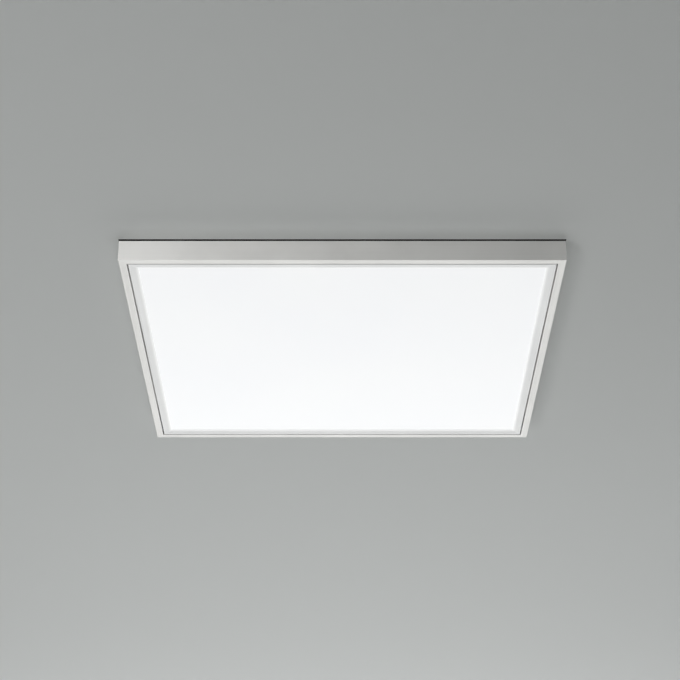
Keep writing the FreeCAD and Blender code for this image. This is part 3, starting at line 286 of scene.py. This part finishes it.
# how much of each edge is rounded off, in millimetres
edgeRounds = {
    "frame_rail_front": 0.25, "frame_rail_rear": 0.25, "frame_rail_left": 0.25, "frame_rail_right": 0.25,
    "panel_rail_front": 0.18, "panel_rail_rear": 0.18, "panel_rail_left": 0.18, "panel_rail_right": 0.18,
    "corner_gusset_front_left": 0.2, "corner_gusset_front_right": 0.2,
    "corner_gusset_rear_left": 0.2, "corner_gusset_rear_right": 0.2,
    "pivot_bracket_left": 0.3, "pivot_bracket_right": 0.3,
    "catch_bracket_left": 0.3, "catch_bracket_right": 0.3,
    "catch_plate_left": 0.15, "catch_plate_right": 0.15,
    "gear_tray": 0.2, "cable_clamp": 0.4, "terminal_block": 0.4,
    "release_button_line": 0.25, "release_button_neutral": 0.25, "release_button_earth": 0.25,
    "driver_case": 0.5, "driver_lid": 0.3, "driver_cover_supply": 0.4, "driver_cover_output": 0.4,
    "inlet_socket": 0.4, "magnet_cups": 0.3, "magnets": 0.2, "back_plate": 0.12,
    "cable_grommet": 0.3, "pivot_pin_left": 0.2, "pivot_pin_right": 0.2, "pivot_clips": 0.1,
}
# Joined is in millimetres: vertices this near to each other are one. The angles are in degrees: faces that
# meet at less than flat become one face, edges of more than rounded are rounded off, and edges of more than
# sharp are shaded sharp.
edgeRules = {"joined": 0.002, "flat": 0.5, "rounded": 30, "sharp": 50, "segments": 2}


def materialFor(node):
    slot = slotOf[node]
    isDeep = node.endswith(("left", "right")) and slot + "_deep" in materials
    return materials[slot + "_deep" if isDeep else slot]


# a copy of a CAD node's mesh with its loose triangles joined
def joinedCopy(node):
    work = bmesh.new()
    work.from_mesh(frame["nodes"][node].data)
    bmesh.ops.remove_doubles(work, verts=work.verts, dist=edgeRules["joined"] * mm)
    return work


# the mesh that an object's modifiers give, as a plain mesh
def bakedMesh(thing, name):
    graph = bpy.context.evaluated_depsgraph_get()
    mesh = bpy.data.meshes.new_from_object(thing.evaluated_get(graph))
    mesh.name = name
    return mesh


# puts a finished mesh into the scene in place of a CAD node; weighted normals keep the flat faces flat
# to the eye and let only the rounded edges shade round
def present(mesh, node):
    mesh.shade_smooth()
    mesh.set_sharp_from_angle(angle=math.radians(edgeRules["sharp"]))
    piece = bpy.data.objects.new(node + "_finished", mesh)
    bpy.context.scene.collection.objects.link(piece)
    weighted = piece.modifiers.new("weighted", "WEIGHTED_NORMAL")
    weighted.keep_sharp = True
    weighted.weight = 100
    piece.data = bakedMesh(piece, node + "_finished")
    piece.modifiers.clear()
    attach(piece, bodyOf[node])
    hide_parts(node)


# the CAD node's shape with its edges rounded off
def softened(node, width):
    work = joinedCopy(node)
    flat, rounded = math.radians(edgeRules["flat"]), math.radians(edgeRules["rounded"])
    bmesh.ops.dissolve_limit(work, angle_limit=flat, verts=work.verts, edges=work.edges)
    corners = [edge for edge in work.edges if edge.is_manifold and edge.calc_face_angle() > rounded]
    bmesh.ops.bevel(work, geom=corners, offset=width * mm, offset_type="OFFSET",
                    segments=edgeRules["segments"], profile=0.5, affect="EDGES", clamp_overlap=True)
    mesh = bpy.data.meshes.new(node + "_finished")
    work.to_mesh(mesh)
    work.free()
    mesh.materials.append(materialFor(node))
    present(mesh, node)


for node, width in edgeRounds.items():
    softened(node, width)
print("softened pieces:", len(edgeRounds))


# screws with hexagon heads and a cross recess, in millimetres
screwKinds = {
    "plateScrew": {"head radius": 3.2, "head height": 2.0, "shank radius": 1.55, "recess width": 0.9,
                   "recess depth": 1.1},
    "smallScrew": {"head radius": 2.6, "head height": 1.3, "shank radius": 1.25, "recess width": 0.7,
                   "recess depth": 0.7},
}
# kind of screw, whether the head points down, and the seed that turns the heads
screwGroups = {
    "gusset_screws": ("plateScrew", True, 3), "tray_screws": ("plateScrew", True, 5),
    "cable_clamp_screws": ("plateScrew", True, 8), "terminal_block_screws": ("plateScrew", True, 13),
    "driver_screws": ("plateScrew", True, 21), "earth_screw": ("plateScrew", True, 34),
    "bracket_screws": ("smallScrew", True, 55), "driver_cover_screws": ("smallScrew", True, 89),
    "back_plate_screws": ("smallScrew", False, 144),
}
recessReach = 0.62                # of the head's radius, from the middle to the end of each slot
crownRadius = 0.86                # of the head's radius, where the rounding of its corners starts
crownSlope = math.sqrt(3)         # how far the crown goes out for each unit that it falls: 30 degrees
crownSpare = 0.1 * mm             # how far the crown's cone goes past the head, at either end
shankOverlap = 0.3 * mm           # how far the shank goes into the head


# the boxes of a node's separate solids
def solidBoxes(node):
    work = joinedCopy(node)
    left = set(work.verts)
    boxes = []
    while left:
        group, edgeOfGroup = [], [left.pop()]
        while edgeOfGroup:
            vert = edgeOfGroup.pop()
            group.append(vert.co.copy())
            for edge in vert.link_edges:
                other = edge.other_vert(vert)
                if other in left:
                    left.remove(other)
                    edgeOfGroup.append(other)
        boxes.append((Vector([min(co[i] for co in group) for i in range(3)]),
                      Vector([max(co[i] for co in group) for i in range(3)])))
    work.free()
    return sorted(boxes, key=lambda box: tuple(round(value, 6) for value in box[0]))


# A screw stands on the origin with its head up. The head is a hexagon that is cut by a cone, which rounds
# its corners, and by two crossed slots; the shank hangs below. Each point gets one, turned at random.
def screwTree():
    tree = bpy.data.node_groups.new("hexagon screws", "GeometryNodeTree")
    tree.interface.new_socket(name="Geometry", in_out="INPUT", socket_type="NodeSocketGeometry")
    for name in list(screwKinds["plateScrew"]) + ["shank length", "head turn"]:
        tree.interface.new_socket(name=name, in_out="INPUT", socket_type="NodeSocketFloat")
    tree.interface.new_socket(name="seed", in_out="INPUT", socket_type="NodeSocketInt")
    tree.interface.new_socket(name="material", in_out="INPUT", socket_type="NodeSocketMaterial")
    tree.interface.new_socket(name="Geometry", in_out="OUTPUT", socket_type="NodeSocketGeometry")
    given = addNode(tree, "NodeGroupInput").outputs

    # lengths worked out from the inputs; a name stands for an input or for a length above it
    lengths = {socket.name: socket for socket in given}
    for name, operation, first, second in (
            ("half height", "MULTIPLY", "head height", 0.5),
            ("crown", "MULTIPLY", "head radius", crownRadius),
            ("cone top", "SUBTRACT", "crown", crownSpare * crownSlope),
            ("cone drop", "ADD", "head height", crownSpare),
            ("cone flare", "MULTIPLY", "cone drop", crownSlope),
            ("cone foot", "ADD", "crown", "cone flare"),
            ("cone height", "ADD", "head height", 2 * crownSpare),
            ("slot length", "MULTIPLY", "head radius", 2 * recessReach),
            ("slot depth", "MULTIPLY", "recess depth", 2.0),
            ("shank depth", "ADD", "shank length", shankOverlap),
            ("shank below", "SUBTRACT", "shank length", shankOverlap),
            ("shank middle", "MULTIPLY", "shank below", -0.5)):
        worked = addNode(tree, "ShaderNodeMath", {
            0: lengths.get(first, first), 1: lengths.get(second, second)}, operation=operation)
        lengths[name] = worked.outputs[0]

    prism = addNode(tree, "GeometryNodeMeshCylinder", {
        "Vertices": 6, "Radius": lengths["head radius"], "Depth": lengths["head height"]})
    cone = addNode(tree, "GeometryNodeMeshCone", {
        "Vertices": 24, "Radius Top": lengths["cone top"], "Radius Bottom": lengths["cone foot"],
        "Depth": lengths["cone height"]})
    shank = addNode(tree, "GeometryNodeMeshCylinder", {
        "Vertices": 16, "Radius": lengths["shank radius"], "Depth": lengths["shank depth"]})
    solids = [("prism", prism, lengths["half height"]), ("cone", cone, -crownSpare),
              ("shank", shank, lengths["shank middle"])]
    for longAxis, shortAxis in (("X", "Y"), ("Y", "X")):
        extent = addNode(tree, "ShaderNodeCombineXYZ", {
            longAxis: lengths["slot length"], shortAxis: lengths["recess width"], "Z": lengths["slot depth"]})
        slot = addNode(tree, "GeometryNodeMeshCube", {"Size": extent.outputs[0]})
        solids.append(("slot " + longAxis, slot, lengths["head height"]))
    placed = {}
    for name, solid, level in solids:
        shift = addNode(tree, "ShaderNodeCombineXYZ", {"Z": level})
        moved = addNode(tree, "GeometryNodeTransform", {
            "Geometry": solid.outputs["Mesh"], "Translation": shift.outputs[0]})
        placed[name] = moved.outputs["Geometry"]

    head = addNode(tree, "GeometryNodeMeshBoolean", {
        1: [placed["prism"], placed["cone"]]}, operation="INTERSECT", solver="EXACT")
    recessed = addNode(tree, "GeometryNodeMeshBoolean", {
        0: head.outputs["Mesh"], 1: [placed["slot X"], placed["slot Y"]]},
        operation="DIFFERENCE", solver="EXACT")
    whole = addNode(tree, "GeometryNodeMeshBoolean", {
        1: [recessed.outputs["Mesh"], placed["shank"]]}, operation="UNION", solver="EXACT")

    twist = addNode(tree, "FunctionNodeRandomValue", {
        2: 0.0, 3: math.pi, "Seed": given["seed"]}, data_type="FLOAT")
    turn = addNode(tree, "ShaderNodeCombineXYZ", {"X": given["head turn"], "Z": twist.outputs[1]})
    rotation = addNode(tree, "FunctionNodeEulerToRotation", {"Euler": turn.outputs[0]})
    copies = addNode(tree, "GeometryNodeInstanceOnPoints", {
        "Points": given["Geometry"], "Instance": whole.outputs["Mesh"], "Rotation": rotation.outputs[0]})
    real = addNode(tree, "GeometryNodeRealizeInstances", {"Geometry": copies.outputs["Instances"]})
    painted = addNode(tree, "GeometryNodeSetMaterial", {
        "Geometry": real.outputs["Geometry"], "Material": given["material"]})
    addNode(tree, "NodeGroupOutput", {"Geometry": painted.outputs["Geometry"]})
    return tree


hexagonScrews = screwTree()
screwInputs = {item.name: item.identifier for item in hexagonScrews.interface.items_tree
               if item.in_out == "INPUT"}

for node, (kind, pointsDown, seed) in screwGroups.items():
    size = screwKinds[kind]
    headHeight = size["head height"] * mm
    seats, shankLength = [], 0.0
    for low, high in solidBoxes(node):
        seat = low.z + headHeight if pointsDown else high.z - headHeight
        shankLength = (high.z - seat) if pointsDown else (seat - low.z)
        seats.append(((low.x + high.x) / 2, (low.y + high.y) / 2, seat))
    points = bpy.data.meshes.new(node + "_places")
    points.from_pydata(seats, [], [])
    holder = bpy.data.objects.new(node + "_places", points)
    bpy.context.scene.collection.objects.link(holder)
    maker = holder.modifiers.new("screws", "NODES")
    maker.node_group = hexagonScrews
    for name, value in size.items():
        maker[screwInputs[name]] = value * mm
    maker[screwInputs["shank length"]] = shankLength
    maker[screwInputs["head turn"]] = math.pi if pointsDown else 0.0
    maker[screwInputs["seed"]] = seed
    maker[screwInputs["material"]] = materialFor(node)
    mesh = bakedMesh(holder, node + "_finished")
    bpy.data.objects.remove(holder)
    present(mesh, node)
    print(node, len(seats), "screws,", len(mesh.polygons), "faces")


# the CAD's own pieces keep their shape and get their finish
for node, carried in frame["nodes"].items():
    for held in carried.material_slots:
        held.material = materialFor(node)


# the ceiling that carries the light and a floor below, in metres
stageSizes = {"reach": 7.0, "ceilingOff": 0.05 * mm, "floorDown": 2.4}


def stagePlane(name, level, material):
    reach = stageSizes["reach"]
    mesh = bpy.data.meshes.new(name)
    mesh.from_pydata([(-reach, -reach, level), (reach, -reach, level), (reach, reach, level),
                      (-reach, reach, level)], [], [(0, 1, 2, 3)])
    mesh.materials.append(material)
    plane = bpy.data.objects.new(name, mesh)
    bpy.context.scene.collection.objects.link(plane)
    return plane


# From the frame's outer face, in millimetres: how far the painted shadow of the shadow gap goes out and in,
# and how far in the open square starts.
ceilingLook = {"paint": "#d6d8d7", "gap": "#2c2c2c", "darkOut": 1.0, "darkIn": 12.0, "openIn": 0.5}


# The ceiling is solid for the view from below. From above the view passes through it, and over the light
# itself all other light passes too, so that the back of the light can be looked at. Over the rim of the frame
# it carries a painted shadow: a dark band that stands in for the shade in the shadow gap and reaches a little
# past the frame.
def ceilingPaint():
    material = bpy.data.materials.new("matt ceiling paint")
    material.use_nodes = True
    tree = material.node_tree
    tree.nodes.clear()
    reach = edgeReach(tree)
    inside = addNode(tree, "ShaderNodeMath", {
        0: reach, 1: halfWidth - ceilingLook["openIn"] * mm}, operation="LESS_THAN")
    near = addNode(tree, "ShaderNodeMath", {
        0: reach, 1: halfWidth + ceilingLook["darkOut"] * mm}, operation="LESS_THAN")
    rim = addNode(tree, "ShaderNodeMath", {
        0: reach, 1: halfWidth - ceilingLook["darkIn"] * mm}, operation="GREATER_THAN")
    shaded = addNode(tree, "ShaderNodeMath", {0: near.outputs[0], 1: rim.outputs[0]}, operation="MULTIPLY")
    # painted shadow: over the rim the ceiling takes the dark band's colour in place of its paint
    colour = addNode(tree, "ShaderNodeMix", {
        0: shaded.outputs[0], 6: toLinear(ceilingLook["paint"]), 7: toLinear(ceilingLook["gap"])},
        data_type="RGBA")
    paint = addNode(tree, "ShaderNodeBsdfDiffuse", {"Color": colour.outputs[2]})
    clear = addNode(tree, "ShaderNodeBsdfTransparent")
    side = addNode(tree, "ShaderNodeNewGeometry")
    path = addNode(tree, "ShaderNodeLightPath")
    unseen = addNode(tree, "ShaderNodeMath", {
        0: inside.outputs[0], 1: path.outputs["Is Camera Ray"]}, operation="SUBTRACT", use_clamp=True)
    either = addNode(tree, "ShaderNodeMath", {
        0: side.outputs["Backfacing"], 1: unseen.outputs[0]}, operation="MAXIMUM")
    mixed = addNode(tree, "ShaderNodeMixShader", {
        0: either.outputs[0], 1: paint.outputs[0], 2: clear.outputs[0]})
    addNode(tree, "ShaderNodeOutputMaterial", {"Surface": mixed.outputs[0]})
    return material


# the floor far below is seen only past the light, and shows pale in the view and in reflections
floorLook = {"paint": "#dcdddc", "roughness": 0.9, "shown": "#cfd1d0", "strength": 0.8}


def floorPaint():
    material, tree, shader = newMaterial(
        "matt floor paint", Roughness=floorLook["roughness"], Base_Color=toLinear(floorLook["paint"]))
    path = addNode(tree, "ShaderNodeLightPath")
    shown = addNode(tree, "ShaderNodeMath", {
        0: path.outputs["Is Camera Ray"], 1: path.outputs["Is Glossy Ray"]}, operation="MAXIMUM")
    strength = addNode(tree, "ShaderNodeMath", {
        0: shown.outputs[0], 1: floorLook["strength"]}, operation="MULTIPLY")
    feed(tree, shader, {
        "Emission Color": toLinear(floorLook["shown"]), "Emission Strength": strength.outputs[0]})
    return material


ceiling = stagePlane("ceiling", stageSizes["ceilingOff"], ceilingPaint())
ceiling.data.flip_normals()
stagePlane("floor", -stageSizes["floorDown"], floorPaint())

# the room's own light, and the pale backdrop that the view, clear pieces and metal show
roomLook = {"light": ("#f2f3f3", 0.36), "backdrop": ("#eceded", 1.0)}
world = bpy.data.worlds.new("pale room")
bpy.context.scene.world = world
world.use_nodes = True
worldTree = world.node_tree
worldTree.nodes.clear()
room, backdrop = [addNode(worldTree, "ShaderNodeBackground", {"Color": toLinear(tone), "Strength": strength})
                  for tone, strength in roomLook.values()]
path = addNode(worldTree, "ShaderNodeLightPath")
seen = addNode(worldTree, "ShaderNodeMath", {
    0: path.outputs["Is Camera Ray"], 1: path.outputs["Is Transmission Ray"]}, operation="MAXIMUM")
seenOrMirrored = addNode(worldTree, "ShaderNodeMath", {
    0: seen.outputs[0], 1: path.outputs["Is Glossy Ray"]}, operation="MAXIMUM")
skyMix = addNode(worldTree, "ShaderNodeMixShader", {
    0: seenOrMirrored.outputs[0], 1: room.outputs[0], 2: backdrop.outputs[0]})
addNode(worldTree, "ShaderNodeOutputWorld", {"Surface": skyMix.outputs[0]})

# place, aim, width and height in metres, watts
lamps = {
    "sideLeft": ((-0.65, -1.05, -0.11), (-0.25, -0.31, -0.02), (0.5, 0.16), 5.0),
    "keyLeft": ((-1.5, -1.5, -2.0), (-0.31, -0.31, 0.0), (0.8, 0.8), 10.0),
    "rearLow": ((0.0, 3.0, -1.1), (0.0, 0.31, 0.0), (3.6, 1.0), 24.0),
    "fillBelow": ((0.0, 0.8, -2.2), (0.0, 0.0, 0.0), (2.0, 2.0), 17.5),
    "aboveLeft": ((-1.3, -1.2, 2.0), (0.0, 0.0, 0.0), (1.4, 1.4), 40.0),
    "aboveRight": ((1.6, 1.0, 1.6), (0.0, 0.0, 0.0), (1.4, 1.4), 30.0),
}
for name, (place, aim, extent, watts) in lamps.items():
    data = bpy.data.lights.new(name, "AREA")
    data.shape = "RECTANGLE"
    data.size, data.size_y = extent
    data.energy = watts
    lamp = bpy.data.objects.new(name, data)
    bpy.context.scene.collection.objects.link(lamp)
    lamp.location = place
    lamp.rotation_euler = (Vector(aim) - Vector(place)).to_track_quat("-Z", "Y").to_euler()
    lamp.visible_camera = False

# the low lamp on the left lights the front of the frame only
frontOnly = bpy.data.collections.new("lit by the low lamp")
frontOnly.objects.link(bpy.data.objects["frame_rail_front_finished"])
bpy.data.objects["sideLeft"].light_linking.receiver_collection = frontOnly

# the view of the photograph, worked out from its converging edges
view = {"lens": 98.4, "sensor": 36.0, "place": (-0.0023, -2.564, -1.2645), "pitch": 26.21,
        "shift": (-0.00103, -0.00044)}
cameraData = bpy.data.cameras.new("photo view")
cameraData.lens = view["lens"]
cameraData.sensor_width = view["sensor"]
cameraData.shift_x, cameraData.shift_y = view["shift"]
camera = bpy.data.objects.new("photo view", cameraData)
bpy.context.scene.collection.objects.link(camera)
camera.location = view["place"]
camera.rotation_euler = (math.radians(90 + view["pitch"]), 0.0, 0.0)
bpy.context.scene.camera = camera
bpy.context.scene.view_settings.view_transform = "Standard"
print("stage ready")
